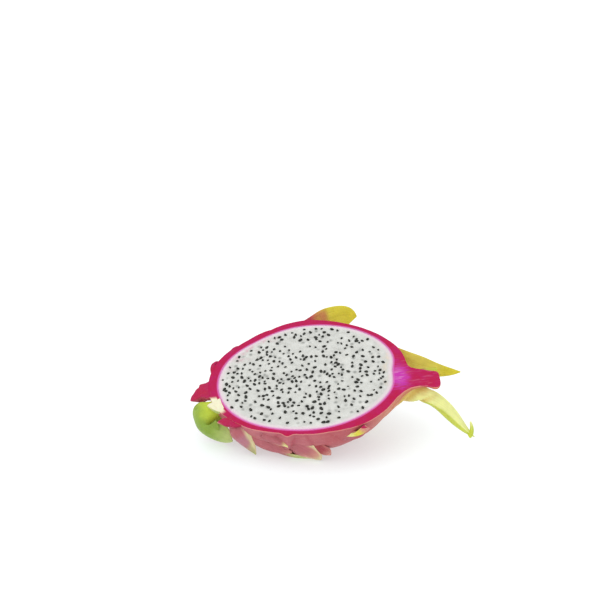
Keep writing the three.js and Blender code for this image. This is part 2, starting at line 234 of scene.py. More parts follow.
def halfOvoid(edge, depth, steps):
    # rings from an edge in the cut down to the bottom, as deep as the fruit is there
    down = np.linspace(0, math.pi / 2, steps)[:, None]
    x, v = edge[:, 0] * np.cos(down), edge[:, 1] * np.cos(down)
    return np.stack([x, v, -depth * np.sin(down) * depthShare(x) + edge[:, 2] * np.cos(down)], -1)


# Scales: each is a blade along a spine through four points. out is where its outer side faces, at the root
# and at the tip, arch the angle that it bends across there, and blunt is low for a pointed tip. ridge,
# ragged and folds are the heights of keel, torn edges and wrinkles, and below is how far it stays under
# the cut; folds also darken the wrinkles' hollows with painted shade. tones are its colours at root, middle
# and tip, turnAt is where the middle's starts, and strip is a colour along one margin, the side, and where it
# starts.

colours = {
    "skin": paint(188, 104, 114),
    "dusty": paint(192, 126, 142),
    "underShadeRed": paint(168, 62, 74),
    "blush": paint(222, 150, 140),
    "foldShadeAmber": paint(214, 172, 70),
    "crimson": paint(178, 34, 78),
    "rootPink": paint(196, 66, 92),
    "paleGreen": paint(196, 212, 132),
    "cream": paint(236, 226, 176),
    "peach": paint(228, 196, 108),
    "lemon": paint(249, 253, 168),
    "lime": paint(208, 220, 78),
    "bright": paint(206, 224, 72),
    "yellow": paint(236, 226, 102),
    "olive": paint(228, 216, 72),
    "mustard": paint(224, 212, 54),
    "leaf": paint(142, 172, 62),
}

shownScales = [
    # the lime strip on its folded-down half is partly its own greener colour, partly painted shade
    {"name": "neckScale", "out": [(0, -0.9, -0.4), (0.4, -0.8, 0.3)],
     "spine": [(45, -19.5, -9.5), (66, -18, -11.8), (80, -27, -21.5), (90.4, -34.9, -30.8)],
     "width": 15.5, "thick": 5, "arch": (0.7, 1.1), "blunt": 1.45, "ridge": 0.5, "folds": 0.9,
     "tones": ("peach", "lemon", "lemon"), "turnAt": 0.24, "strip": ("lime", 1, -0.05)},
    {"name": "hookScale", "out": [(1, 0, 0)],
     "spine": [(87.4, -34.2, -30), (89, -33.2, -28), (89.4, -31.4, -25.6), (89, -29.5, -23.5)],
     "width": 5.6, "thick": 2.4, "arch": (0.3, 0.3), "blunt": 1.6,
     "tones": ("lime", "lime", "lemon"), "turnAt": 0.5},
    {"name": "backScale", "out": [(0.1, 0.8, -0.6), (0.1, 0.75, -0.65)],
     "spine": [(42, 21, -9), (58, 12.5, -11), (73, 3.5, -11), (88, -3, -9.5)],
     "width": 15, "thick": 4, "arch": (0.6, 0.5), "blunt": 2.2, "ridge": 0.3,
     "tones": ("yellow", "yellow", "mustard"), "turnAt": 0.3},
    {"name": "sideScale", "out": [(-0.1, 0.7, -0.7), (-0.1, 0.62, -0.78)],
     "spine": [(-7, 37, -8), (9, 47, -9), (22, 54, -8.5), (34, 54, -9)],
     "width": 18, "thick": 4, "arch": (0.5, 0.3), "blunt": 5.5, "ridge": 0.3,
     "tones": ("rootPink", "olive", "mustard"), "turnAt": 0.47},
    {"name": "stemScale", "out": [(-0.75, -0.65, 0.05), (-0.5, -0.85, 0.05)],
     "spine": [(-52, -12, -9), (-62.5, -16.5, -11), (-58, -19.8, -16), (-47.2, -23.8, -21)],
     "width": 21, "thick": 5, "arch": (0.5, 0.5), "blunt": 8, "ridge": 0.3, "below": 1.4,
     "tones": ("bright", "leaf", "paleGreen"), "turnAt": 0.2},
    {"name": "edgedScale", "out": [(-0.5, -0.8, 0.1), (-0.4, -0.9, 0.1)],
     "spine": [(-45, -24, -5), (-43, -31, -8), (-39, -33, -15), (-34.5, -34.5, -22.5)],
     "width": 17, "thick": 4, "arch": (0.6, 0.7), "blunt": 2, "ridge": 0.3,
     "tones": ("skin", "dusty", "paleGreen"), "turnAt": 0.4, "strip": ("cream", -1, 0.55)},
    {"name": "lowScale", "out": [(0, -0.8, -0.6)],
     "spine": [(-38, -26, -13), (-31, -32, -16.5), (-23, -36.5, -18.5), (-14, -40.6, -18)],
     "width": 22, "thick": 5, "arch": (1.0, 1.2), "blunt": 2.2, "ridge": 0.2,
     "tones": ("skin", "skin", "blush"), "turnAt": 0.8},
    {"name": "smallPoint", "out": [(0, -0.9, 0.4)],
     "spine": [(-29, -37.5, -3.5), (-23.5, -39.5, -5.5), (-19, -41.5, -7.5), (-15.6, -43.2, -10.5)],
     "width": 7, "thick": 2.6, "arch": (0.5, 0.5), "blunt": 2.2, "ridge": 0.2,
     "tones": ("skin", "skin", "lemon"), "turnAt": 0.6},
    {"name": "underScale", "out": [(0, -0.6, -0.8)],
     "spine": [(-30, -22, -24), (-18, -31.5, -26.2), (-8, -36.5, -26.8), (1.5, -40, -25.6)],
     "width": 18, "thick": 4.4, "arch": (0.5, 0.5), "blunt": 2.4, "ridge": 0.2,
     "tones": ("skin", "paleGreen", "cream"), "turnAt": 0.5},
    {"name": "broadScale", "out": [(0, -0.9, -0.3)],
     "spine": [(-20, -31, -9), (-12, -39.5, -13.5), (-4, -42, -19.5), (2, -42.6, -24.6)],
     "width": 18, "thick": 4.4, "arch": (0.4, 0.3), "blunt": 3.2, "ridge": 0.4,
     "tones": ("skin", "blush", "cream"), "turnAt": 0.6, "strip": ("cream", -1, 0.6)},
    # its root and middle are painted shade: darker red where it lies under the broad scale
    {"name": "roundScale", "out": [(0, -0.85, -0.5)],
     "spine": [(-8, -33, -13), (-2, -39, -16.5), (3, -42, -19), (7.8, -43.2, -21)],
     "width": 19, "thick": 4.2, "arch": (0.6, 0.5), "blunt": 4.5, "ridge": 0.3,
     "tones": ("underShadeRed", "underShadeRed", "blush"), "turnAt": 0.5},
    {"name": "foldedScale", "out": [(0, -0.9, -0.35)],
     "spine": [(8, -36, -10), (15, -40.3, -10.8), (22, -43.5, -8.4), (28.6, -45.2, -3.4)],
     "width": 13, "thick": 3.8, "arch": (0.7, 0.6), "blunt": 3, "ridge": 0.3,
     "tones": ("skin", "skin", "blush"), "turnAt": 0.8},
    {"name": "foldedPoint", "out": [(0, -0.9, -0.35)],
     "spine": [(29.5, -43.6, -1.2), (26, -44.9, -3.6), (22.3, -44.6, -5.4), (17.5, -43.3, -7)],
     "width": 6.5, "thick": 2.4, "arch": (0.4, 0.4), "blunt": 1.5, "ridge": 0.2,
     "tones": ("blush", "olive", "lemon"), "turnAt": 0.25},
    {"name": "stemLobe", "out": [(-0.3, 0.95, 0), (-0.6, 0.8, 0)],
     "spine": [(-50, 0, -0.6), (-58, -1.5, -0.6), (-63, -3.8, -0.6), (-67.2, -7.3, -0.6)],
     "width": 12, "thick": 16.5, "arch": (0.3, 0.3), "blunt": 4, "ragged": 1.3,
     "tones": ("rootPink", "rootPink", "rootPink"), "turnAt": 0.9},
    {"name": "stemStub", "out": [(0, 1, 0)],
     "spine": [(-45, -14, -0.6), (-51, -14, -0.6), (-54.5, -13.6, -0.6), (-58.5, -13, -0.6)],
     "width": 11, "thick": 14, "arch": (0.3, 0.3), "blunt": 4,
     "tones": ("paleGreen", "paleGreen", "cream"), "turnAt": 0.5},
    {"name": "smallLobe", "out": [(0, -1, 0)],
     "spine": [(-40, -26, -0.6), (-45.5, -27.5, -0.6), (-49.5, -27.2, -0.6), (-53.6, -26, -0.6)],
     "width": 9, "thick": 11, "arch": (0.4, 0.4), "blunt": 4, "ragged": 0.9,
     "tones": ("crimson", "crimson", "blush"), "turnAt": 0.6},
    {"name": "firstNub", "out": [(-0.5, 0.8, 0), (-0.3, 0.9, 0)],
     "spine": [(-44, 22, -1), (-42.5, 28, -1), (-40.5, 31, -1), (-37.5, 32.5, -1)],
     "width": 8, "thick": 2.4, "arch": (0.4, 0.5), "blunt": 2.4,
     "tones": ("crimson", "crimson", "skin"), "turnAt": 0.9},
    {"name": "secondNub", "out": [(-0.8, 0.5, 0), (-0.6, 0.7, 0)],
     "spine": [(-53, 10, -1), (-54.5, 16, -1), (-53.5, 20, -1), (-50.5, 21.5, -1)],
     "width": 8, "thick": 2.6, "arch": (0.4, 0.5), "blunt": 2.4,
     "tones": ("crimson", "crimson", "skin"), "turnAt": 0.9},
]

hiddenRows = {  # rows round the underside: place along x, first angle in degrees, step and count
    "rows": [(-45, 40, 48, 2), (-28, 22, 42, 3), (-8, 42, 44, 2), (13, 24, 38, 3), (31, 42, 36, 2),
             (46, 102, 40, 1)],
    "length": (17, 15),  # at x = -50, and how much more there is 100 mm towards the crown
    "lift": (1.2, 4.2),
    "width": (27, -7),
    "thick": 4.2,
    "tones": ("skin", "skin", "lime"),
}

blade = {
    "steps": 44,  # rings along a scale
    "sides": 40,  # points round each ring
    "edge": 0.9,  # thickness of the thin margins
    "taper": 0.8,  # power by which width and thickness fall towards the tip
    "tipWidth": 0.05,  # share of the width that the tip keeps
    "waver": 0.05,  # unevenness of the width, as a share
    "ripple": 0.45,  # waves of the margins, in mm
    "keelWidth": 0.2,  # share of the half-width
    "below": 0.06,  # how far a cut scale stays under the cut
    "rootSink": 0.3,  # how much lower its root lies, so that the rim covers it
    "tearSize": 3.6,  # size of the tears of a ragged edge
    "tearSlant": 0.3,  # low where they run straight down
    "sharpFrom": 48,  # degrees
}


def rowScale(x, angle):
    # a scale that lies close to the skin, longer towards the crown, on the skin's own directions there
    here = skinPoint(np.array(x), np.array(angle))
    along = skinPoint(np.array(x + 0.5), np.array(angle)) - here
    along = along / np.linalg.norm(along)
    around = skinPoint(np.array(x), np.array(angle + 0.02)) - here
    out = np.cross(along, around / np.linalg.norm(around))
    out = out / np.linalg.norm(out)
    if out[1] * (here[1] - section(np.array(x))[0]) + out[2] * here[2] < 0:
        out = -out
    towardsCrown = (x + 50) / 100
    length, lift, width = (start + more * towardsCrown
                           for start, more in (hiddenRows[k] for k in ("length", "lift", "width")))
    spine = [here + along * length * run + out * rise
             for run, rise in ((-0.25, -2.8), (0.2, -0.4), (0.6, 0.3 * lift), (1, lift))]
    return {"spine": spine, "out": [out], "width": width, "thick": hiddenRows["thick"],
            "arch": (0.55, 0.5), "blunt": 1.9, "ridge": 0.3, "tones": hiddenRows["tones"], "turnAt": 0.62,
            "root": (x, angle)}


def allScales():
    # the scales that the camera sees and the rows underneath, each with the place of its root on the skin
    rows = [rowScale(x, math.radians(first + step * k)) for x, first, step, count in hiddenRows["rows"]
            for k in range(count)]
    for k, scale in enumerate(rows):
        scale["name"] = f"rowScale{k + 1}"
    for scale in shownScales:
        x, v, w = scale["spine"][1]
        scale["root"] = (x, math.atan2(-w / depthShare(np.array(x)), v - section(np.array(x))[0]))
    return shownScales + rows


def cubicThrough(points, s):
    # the cubic curve that passes through four points at 0, 1/3, 2/3 and 1
    a, b, c = s - 1 / 3, s - 2 / 3, s - 1
    weights = np.stack([-4.5 * a * b * c, 13.5 * s * b * c, -13.5 * s * a * c, 4.5 * s * a * b], -1)
    return weights @ np.array(points, float)


def foldWave(s, t):
    # slanting wrinkles: a sine of the place along the scale and across it
    return np.sin(34 * s + 4 * t)


def scaleSurface(scale, seed):
    # rings along the spine: each ring is a lens bent to an arc, thin at its margins and thick at the root
    s = np.linspace(0, 1, blade["steps"])
    middle = cubicThrough(scale["spine"], s)
    along = np.gradient(middle, axis=0)
    along /= np.linalg.norm(along, axis=1, keepdims=True)
    first, last = np.array(scale["out"][0], float), np.array(scale["out"][-1], float)
    facing = first + (last - first) * s[:, None]
    up = facing - along * (facing * along).sum(1, keepdims=True)
    up /= np.linalg.norm(up, axis=1, keepdims=True)
    side = np.cross(along, up)
    s = s[:, None]
    ring = np.arange(blade["sides"]) * 2 * math.pi / blade["sides"]
    t, lens = np.cos(ring)[None], np.sin(ring)[None]
    half = 0.5 * scale["width"] * np.maximum((1 - s ** scale["blunt"]) ** blade["taper"], blade["tipWidth"])
    half = half * (1 + blade["waver"] * np.sin(11 * s + seed) * ease(0.2, 0.6, s))
    bow = scale["arch"][0] + (scale["arch"][1] - scale["arch"][0]) * s
    thickness = blade["edge"] + scale["thick"] * (1 - s) ** blade["taper"] * np.abs(lens)
    ripple = blade["ripple"] * np.sin(9 * s + 1.7 * seed + 2 * np.sign(t)) * np.abs(t) ** 3
    ripple = ripple * ease(0.3, 0.8, s)
    keel = scale.get("ridge", 0) * bell(t, blade["keelWidth"]) * ease(0.15, 0.5, s) * (1 - ease(0.8, 1, s))
    keel = keel + scale.get("folds", 0) * foldWave(s, t) * (1 - ease(0.2, 0.42, s))
    across = half * np.sin(t * bow) / bow
    height = 0.5 * lens * thickness + ripple + keel - half * (1 - np.cos(t * bow)) / bow
    points = middle[:, None] + side[:, None] * across[..., None] + up[:, None] * height[..., None]
    return points, np.broadcast_to(s, across.shape), np.broadcast_to(t, across.shape)


def closeRings(points, extras):
    # adds a point at each end of a stack of rings, and the triangles that close it; extras are the points'
    # values
    rows, columns = points.shape[:2]
    ends = np.stack([points[0].mean(0), points[-1].mean(0)])
    flat = np.concatenate([points.reshape(-1, 3), ends])
    faces = gridFaces(rows, columns, closed=True)[:, ::-1].tolist()
    ring = np.arange(columns)
    nxt = (ring + 1) % columns
    faces += np.stack([ring, nxt, np.full(columns, rows * columns)], 1).tolist()
    tip = (rows - 1) * columns
    faces += np.stack([tip + nxt, tip + ring, np.full(columns, rows * columns + 1)], 1).tolist()
    full = [np.concatenate([e.ravel(), [e[0].mean(), e[-1].mean()]]) for e in extras]
    return flat, faces, full


def scaleColours(scale, s, t, points, seed):
    # root colour, then middle colour from turnAt on, then tip colour; margins take some of the tip's colour
    root, mid, tip = (np.array(colours[tone]) for tone in scale["tones"])
    wobble = 0.1 * smoothNoise(points, 5.0, seed)
    toMid = ease(scale["turnAt"] - 0.16, scale["turnAt"] + 0.14, s + wobble)[:, None]
    toTip = ease(max(scale["turnAt"], 0.55), 1.0, s + wobble)[:, None]
    margin = (0.45 * ease(0.75, 1.0, np.abs(t)) * ease(0.3, 0.7, s))[:, None]
    colour = root + (mid - root) * toMid
    colour = colour + (tip - colour) * np.maximum(toTip, margin)
    if "strip" in scale:
        tone, side, start = scale["strip"]
        strip = (0.95 * ease(start, start + 0.25, t * side + wobble) * ease(0.15, 0.4, s))[:, None]
        colour = colour + (np.array(colours[tone]) - colour) * strip
    # painted shade: the hollows of the wrinkles are tinted a darker amber
    if "folds" in scale:
        valley = ease(-0.2, 0.9, -foldWave(s, t)) * (1 - ease(0.28, 0.46, s))
        colour = colour + (np.array(colours["foldShadeAmber"]) - colour) * (0.7 * valley)[:, None]
    return colour * (1 + 0.08 * smoothNoise(points, 2.2, seed + 9))[:, None]


# The rind in three grids that are welded: skin outside, cut rim on top, wall of the cavity inside

flesh = {
    "halfLength": 51.5,
    "halfWidth": 41.8,
    "dents": [(-6, 0.05, 13), (122, 0.04, 20), (250, 0.022, 22)],  # place in degrees, depth, spread
    "gap": 0.3,
    "swollen": 0.24,  # how far the flesh closes that gap
    "crown": 0.8,  # how far the cut flesh swells above the rim
    "underWall": 3.0,
    "cutMarks": ((0.16, 6.0, 30), (0.07, 1.6, 31)),  # unevenness of the cut: height, size, pattern
    "seedDent": 0.22,
    "sharpFrom": 60,  # degrees
    "around": 320,
    "outwards": 120,
    "downwards": 24,
}

rim = {
    "steps": 26,
    "groove": 0.1,  # depth of the soft seam beside the flesh
    "grooveAt": 0.8,  # its distance from the flesh, and its width
    "waver": 0.16,  # unevenness of the knife's cut
    "calmAtFlesh": 1.5,  # distances over which that unevenness fades
    "calmAtSkin": 0.8,
    "wallSteps": 26,
}


def fleshReach(angle):
    # share of the ellipse that the flesh reaches, with its shallow dents
    degrees = np.degrees(angle)
    away = [(degrees - at + 540) % 360 - 180 for at, depth, width in flesh["dents"]]
    return 1 - sum(depth * bell(a, width) for a, (at, depth, width) in zip(away, flesh["dents"]))


def relief(x, angle, sites):
    # a cushion behind each scale: full in its middle, low in the crease between the two nearest
    half = section(x)[1]
    gaps = np.sort(np.stack([np.hypot(x - (sx - body["cushionSetback"]), 0.85 * half * (angle - sa))
                             for sx, sa in sites]), axis=0)
    swell = 1 - np.exp(-(gaps[1] - gaps[0]) / body["creaseWidth"])
    toRim = bell(angle, body["calmReach"]) + bell(math.pi - angle, body["calmReach"])
    calm = 1 - body["calmRim"] * toRim
    return body["cushionHeight"] * calm * np.clip(half / 24, 0, 1) ** 2 * (swell - 0.8), 1 - swell


def skinGrid(scales):
    # half rings from the stem end to the neck, raised by cushions, fine wrinkles and slow unevenness
    sites = [scale["root"] for scale in scales if abs(scale["root"][0]) < body["halfLength"] - 4]
    u = np.linspace(0, math.pi, body["rings"])
    ringAt = -body["halfLength"] + (body["neckEnd"] + body["halfLength"]) * (1 - np.cos(u)) / 2
    x, angle = np.meshgrid(ringAt, np.linspace(0, math.pi, body["sides"]), indexing="ij")
    half = section(x)[1]
    rise, crease = relief(x, angle, sites)
    smooth = skinPoint(x, angle)
    for (height, size), seed in ((body["unevenness"], 3), (body["grain"], 4)):
        rise = rise + height * smoothNoise(smooth, size, seed)
    height, waves = body["wrinkles"]
    wrinkled = ease(*body["wrinkledFrom"], x) * np.clip(half / 10, 0, 1)
    rise = rise + height * wrinkled * np.sin(angle * waves + 1.5 * smoothNoise(smooth, 9.0, 5))
    return skinPoint(x, angle, rise * np.clip(half / 4, 0, 1)), crease


def cutFace(outer, inner):
    # the rim's face, from the skin to the flesh, with a seam beside the flesh and the knife's unevenness
    share = np.linspace(0, 1, rim["steps"])[:, None, None]
    face = outer + (inner - outer) * share
    toFlesh = np.linalg.norm(face - inner, axis=-1)
    toSkin = np.linalg.norm(face - outer, axis=-1)
    inside = np.clip(toFlesh / rim["calmAtFlesh"], 0, 1) * np.clip(toSkin / rim["calmAtSkin"], 0, 1)
    within = (share[..., 0] > 0) * (share[..., 0] < 1)
    face[..., 2] = -rim["groove"] * bell(toFlesh - rim["grooveAt"], rim["grooveAt"]) * within
    face[..., 2] -= rim["waver"] * inside * (1 + smoothNoise(face, 4.0, 8))
    return face, toFlesh, toSkin


def buildRind(scales, materials):
    skin, crease = skinGrid(scales)
    skin[:, 0, 2] = skin[:, -1, 2] = 0
    outer = np.concatenate([skin[:, 0], skin[-2:0:-1, -1]])  # along the far rim and back along the near one
    length, width = flesh["halfLength"] + flesh["gap"], flesh["halfWidth"] + flesh["gap"]
    angle = np.arctan2(outer[:, 1] / width, outer[:, 0] / length)
    reach = fleshReach(angle)
    inner = np.stack([length * np.cos(angle) * reach, width * np.sin(angle) * reach, 0 * angle], -1)
    face, toFlesh, toSkin = cutFace(outer, inner)
    wall = halfOvoid(inner, width, rim["wallSteps"])
    places = [g.reshape(-1, 3) for g in (skin, face, wall)]
    onSkin, onFace, onWall = (np.zeros(len(g)) for g in places)
    values = {  # distances in mm; the skin counts as far from the flesh, and the wall as far from the skin
        "toFlesh": np.concatenate([onSkin + 99, toFlesh.ravel(), onWall]),
        "toSkin": np.concatenate([np.minimum(np.abs(places[0][:, 2]), 40), toSkin.ravel(), onWall + 9]),
        "crease": np.concatenate([crease.ravel(), onFace, onWall]),
    }
    for axis, name in enumerate(("along", "acrossCut", "depth")):
        values[name] = np.concatenate([g[:, axis] for g in places])
    faces, index, start = [], [], 0
    for grid, closed, slot in ((skin, False, 0), (face, True, 1), (wall, True, 1)):
        quads = gridFaces(grid.shape[0], grid.shape[1], closed) + start
        faces.append(quads)
        index.append(np.full(len(quads), slot))
        start += grid[..., 0].size
    points = np.concatenate([toTable(places[0]), toTable(places[1]), toTable(places[2], flesh["underWall"])])
    return makePiece("rindHalf", points, np.concatenate(faces), values, materials, np.concatenate(index),
                     body["sharpFrom"], 2e-5)


def buildScale(scale, number, material):
    points, s, t = scaleSurface(scale, number)
    flat, faces, (s, t) = closeRings(points, (s, t))
    tint = scaleColours(scale, s, t, flat, number)
    if "ragged" in scale:
        drawnOut = flat * (1, 1, blade["tearSlant"])
        torn = [smoothNoise(drawnOut, blade["tearSize"], seed) for seed in (50, 51)]
        flat = flat + scale["ragged"] * np.stack([*torn, 0 * s], -1) * ease(0.2, 0.5, s)[:, None]
    # what stands above the knife's cut is cut off, just under the rim's face, and lower still at the root
    level = -scale.get("below", blade["below"]) - blade["rootSink"] * (1 - ease(0.15, 0.4, s))
    cut = flat[:, 2] > level
    flat[cut, 2] = level[cut]
    values = {"tint": tint, "alongScale": s, "acrossScale": t,
              "cutFlat": cut * (0.0 if "below" in scale else 1.0),
              "along": flat[:, 0], "acrossCut": flat[:, 1], "toFlesh": np.full(len(flat), 99.0)}
    return makePiece(scale["name"], toTable(flat), faces, values, [material], None, blade["sharpFrom"], 1e-5)


# The flesh and its seeds

seeds = {
    "count": 340,
    "length": 2.45,
    "width": 1.6,
    "thick": 1.3,
    "fuller": 0.22,  # how much fuller one end is
    "sizes": (0.68, 1.18),
    "tipping": 0.5,  # spread of the angle that a seed is tipped by
    "sunk": (-0.28, 0.12),  # height of a seed's middle over the cut
    "spacing": 2.5,
    "rings": 7,
    "sides": 8,
}


def fleshSwell(x, v):
    # a shallow crown that falls to nothing at the edge
    reach = (x / flesh["halfLength"]) ** 2 + (v / flesh["halfWidth"]) ** 2
    return flesh["crown"] * np.clip(1 - reach ** 2, 0, 1)


def placeSeeds():
    # random places in the cut, kept apart: none at the edge, more along the middle and at the stem end, and
    # in clumps
    rng = np.random.default_rng(12)
    kept = np.zeros((0, 2))
    while len(kept) < seeds["count"]:
        x = rng.uniform(-1, 1) * flesh["halfLength"]
        v = rng.uniform(-1, 1) * flesh["halfWidth"]
        reach = math.hypot(x / flesh["halfLength"], v / flesh["halfWidth"]) / fleshReach(math.atan2(v, x))
        stemEnd = math.exp(-((x + 45) / 9) ** 2)
        crowd = 0.5 + 0.3 * math.exp(-(v / 7) ** 2) + 0.7 * stemEnd
        clump = 0.75 + 0.5 * smoothNoise(np.array([x, v, 0.0]), 6.0, 21)
        apart = seeds["spacing"] * (0.62 + 0.76 * rng.random())
        if reach > 0.93 + 0.035 * stemEnd or rng.random() > crowd * clump:
            continue
        if len(kept) and np.hypot(*(kept - (x, v)).T).min() < apart:
            continue
        kept = np.vstack([kept, (x, v)])
    return kept


def buildFlesh(places, material):
    # top: rings from the middle outwards on the crown, dented round each seed; below: half an ovoid
    around = np.arange(flesh["around"]) * 2 * math.pi / flesh["around"]
    share = (1 - (1 - np.linspace(0, 1, flesh["outwards"])) ** 1.15)[:, None]  # rings, closer at the edge
    reach = fleshReach(around)
    x = (flesh["halfLength"] + flesh["swollen"]) * np.cos(around) * reach * share
    v = (flesh["halfWidth"] + flesh["swollen"]) * np.sin(around) * reach * share
    top = np.stack([x, v, fleshSwell(x, v)], -1)
    edge = np.broadcast_to(share, x.shape)
    nearest = np.sqrt(((top[..., None, :2] - places) ** 2).sum(-1).min(-1))
    calm = 1 - ease(0.93, 1.0, edge)
    marks = sum(height * smoothNoise(top, size, seed) for height, size, seed in flesh["cutMarks"])
    top[..., 2] += calm * marks
    top[..., 2] -= flesh["seedDent"] * bell(nearest, 1.0) + 0.1 * ease(0.98, 1.0, edge)
    under = halfOvoid(top[-1], flesh["halfWidth"], flesh["downwards"])[1:]
    placed = np.concatenate([toTable(top), toTable(under, flesh["underWall"] + flesh["gap"])])
    below = np.zeros(under.shape[:2])
    values = {
        "edge": np.concatenate([edge, below + 1]).ravel(),
        "nearSeed": np.concatenate([bell(nearest, 1.1), below]).ravel(),
        "alongCut": np.concatenate([x, under[..., 0]]).ravel(),
        "acrossCut": np.concatenate([v, under[..., 1]]).ravel(),
    }
    faces = gridFaces(placed.shape[0], placed.shape[1], closed=True)
    return makePiece("fleshHalf", placed, faces, values, [material], None, flesh["sharpFrom"], 1e-5)


def buildSeeds(places, material):
    # each seed is an egg: across by the sine, along by the cosine, fuller at one end, turned and tipped
    # its own way
    rng = np.random.default_rng(5)
    n = len(places)
    polar = np.linspace(0, math.pi, seeds["rings"])[:, None]
    around = np.arange(seeds["sides"]) * 2 * math.pi / seeds["sides"]
    full = 0.5 * np.sin(polar) * (1 + seeds["fuller"] * np.cos(polar))
    egg = np.stack([0.5 * seeds["length"] * np.cos(polar) + 0 * around,
                    seeds["width"] * full * np.cos(around), seeds["thick"] * full * np.sin(around)], -1)
    size = rng.uniform(*seeds["sizes"], (n, 1))
    heading, tip = rng.uniform(0, 2 * math.pi, n), rng.normal(0, seeds["tipping"], n)
    forward = np.stack([np.cos(heading) * np.cos(tip), np.sin(heading) * np.cos(tip), np.sin(tip)], -1)
    across = np.stack([-np.sin(heading), np.cos(heading), 0 * heading], -1)
    upward = np.cross(forward, across)
    axes = np.stack([forward, across, upward], 1) * size[..., None]
    sunk = rng.uniform(*seeds["sunk"], n)
    centre = np.concatenate([places, (fleshSwell(*places.T) + sunk)[:, None]], 1)
    points = np.einsum("rci,nij->nrcj", egg, axes) + centre[:, None, None]
    each = seeds["rings"] * seeds["sides"]
    one = gridFaces(seeds["rings"], seeds["sides"], closed=True)
    faces = (one + np.arange(n)[:, None, None] * each).reshape(-1, 4)
    values = {"shade": np.repeat(rng.uniform(0, 1, n), each)}
    return makePiece("seeds", toTable(points.reshape(-1, 3)), faces, values, [material], None, None, 1e-6)


# Materials

socketNames = {
    "roughness": "Roughness",
    "specular": "Specular IOR Level",
    "subsurface": "Subsurface Weight",
    "radius": "Subsurface Radius",
    "depth": "Subsurface Scale",
}


def newMaterial(name, **fixed):
    # a Principled material with plain values on its sockets; returns the parts that the rest is wired to
    material = bpy.data.materials.new(name)
    material.use_nodes = True
    tree = material.node_tree
    shader = next(n for n in tree.nodes if n.type == "BSDF_PRINCIPLED")
    for key, value in fixed.items():
        shader.inputs[socketNames[key]].default_value = value
    return material, tree, shader


def plug(tree, socket, value):
    # links an output to a socket, or sets a plain value on it
    if isinstance(value, bpy.types.NodeSocket):
        tree.links.new(value, socket)
    else:
        socket.default_value = value


def addNode(tree, kind, settings=None, **values):
    # a node with its settings, and what goes into its sockets by name, or by number after an i
    node = tree.nodes.new(kind)
    for key, value in (settings or {}).items():
        setattr(node, key, value)
    for key, value in values.items():
        plug(tree, node.inputs[int(key[1:]) if key[0] == "i" and key[1:].isdigit() else key], value)
    return node


def attributeOf(tree, name, output="Fac"):
    return addNode(tree, "ShaderNodeAttribute", {"attribute_name": name}).outputs[output]


def objectCoordinates(tree):
    return addNode(tree, "ShaderNodeTexCoord").outputs["Object"]


def mixColours(tree, factor, first, second, blend="MIX"):
    node = addNode(tree, "ShaderNodeMix", {"data_type": "RGBA", "blend_type": blend}, i0=factor)
    for slot, value in ((6, first), (7, second)):
        plug(tree, node.inputs[slot], (*value, 1) if isinstance(value, tuple) else value)
    return node.outputs[2]


def rangeOf(tree, value, fromLow, fromHigh, toLow=0.0, toHigh=1.0):
    return addNode(tree, "ShaderNodeMapRange", {"interpolation_type": "SMOOTHSTEP"},
                   i0=value, i1=fromLow, i2=fromHigh, i3=toLow, i4=toHigh).outputs[0]


def mathOf(tree, operation, a, b=0.0):
    return addNode(tree, "ShaderNodeMath", {"operation": operation}, i0=a, i1=b).outputs[0]


def times(tree, a, b):
    return mathOf(tree, "MULTIPLY", a, b)


def layered(tree, colour, look, layers):
    # tones of a look laid over a colour one after the other, each with its mask and the mask's factor if any
    for tone, mask, *factor in layers:
        colour = mixColours(tree, times(tree, mask, *factor) if factor else mask, colour, look[tone])
    return colour


def applyLook(tree, shader, colour, height, strength, distance):
    tree.links.new(colour, shader.inputs["Base Color"])
    bump = addNode(tree, "ShaderNodeBump", None, Height=height, Strength=strength, Distance=distance)
    tree.links.new(bump.outputs["Normal"], shader.inputs["Normal"])


def newGroup(name, numbers, outputs):
    # a shader node group with a vector input, number inputs with their usual values, and outputs by kind
    group = bpy.data.node_groups.new(name, "ShaderNodeTree")
    group.interface.new_socket("Vector", in_out="INPUT", socket_type="NodeSocketVector")
    for label, value in numbers.items():
        socket = group.interface.new_socket(label, in_out="INPUT", socket_type="NodeSocketFloat")
        socket.default_value = value
    for label, kind in outputs.items():
        group.interface.new_socket(label, in_out="OUTPUT", socket_type="NodeSocket" + kind)
    return group, group.nodes.new("NodeGroupInput"), group.nodes.new("NodeGroupOutput")


def useGroup(tree, group, **values):
    return addNode(tree, "ShaderNodeGroup", {"node_tree": group}, **values)


def patchesGroup():
    # soft patches: broad and fine noise mixed, spread out from 0 to 1
    group, into, out = newGroup("softPatches", {"Scale": 100.0, "Contrast": 1.0}, {"Mask": "Float"})
    broad = addNode(group, "ShaderNodeTexNoise", None, Vector=into.outputs["Vector"],
                    Scale=into.outputs["Scale"], Detail=4.0, Roughness=0.6, Distortion=0.4)
    centred = mathOf(group, "SUBTRACT", broad.outputs["Fac"], 0.5)
    moved = mathOf(group, "ADD", times(group, centred, into.outputs["Contrast"]), 0.5)
    clamp = addNode(group, "ShaderNodeClamp", None, i0=moved)
    group.links.new(clamp.outputs[0], out.inputs["Mask"])
    return group


def flecksGroup():
    # small flecks: the inner parts of scattered cells, with soft edges
    group, into, out = newGroup("flecks", {"Scale": 400.0, "Size": 0.3, "Share": 0.5}, {"Mask": "Float"})
    cells = addNode(group, "ShaderNodeTexVoronoi", {"feature": "F1"}, Vector=into.outputs["Vector"],
                    Scale=into.outputs["Scale"], Randomness=1.0)
    near = rangeOf(group, cells.outputs["Distance"], 0.0, into.outputs["Size"], 1.0, 0.0)
    pick = addNode(group, "ShaderNodeSeparateColor", None, i0=cells.outputs["Color"])
    chosen = mathOf(group, "LESS_THAN", pick.outputs[0], into.outputs["Share"])
    group.links.new(times(group, near, chosen), out.inputs["Mask"])
    return group


softPatches = patchesGroup()
smallFlecks = flecksGroup()


def patchesOf(tree, where, scale, contrast):
    return useGroup(tree, softPatches, Vector=where, Scale=scale, Contrast=contrast).outputs["Mask"]


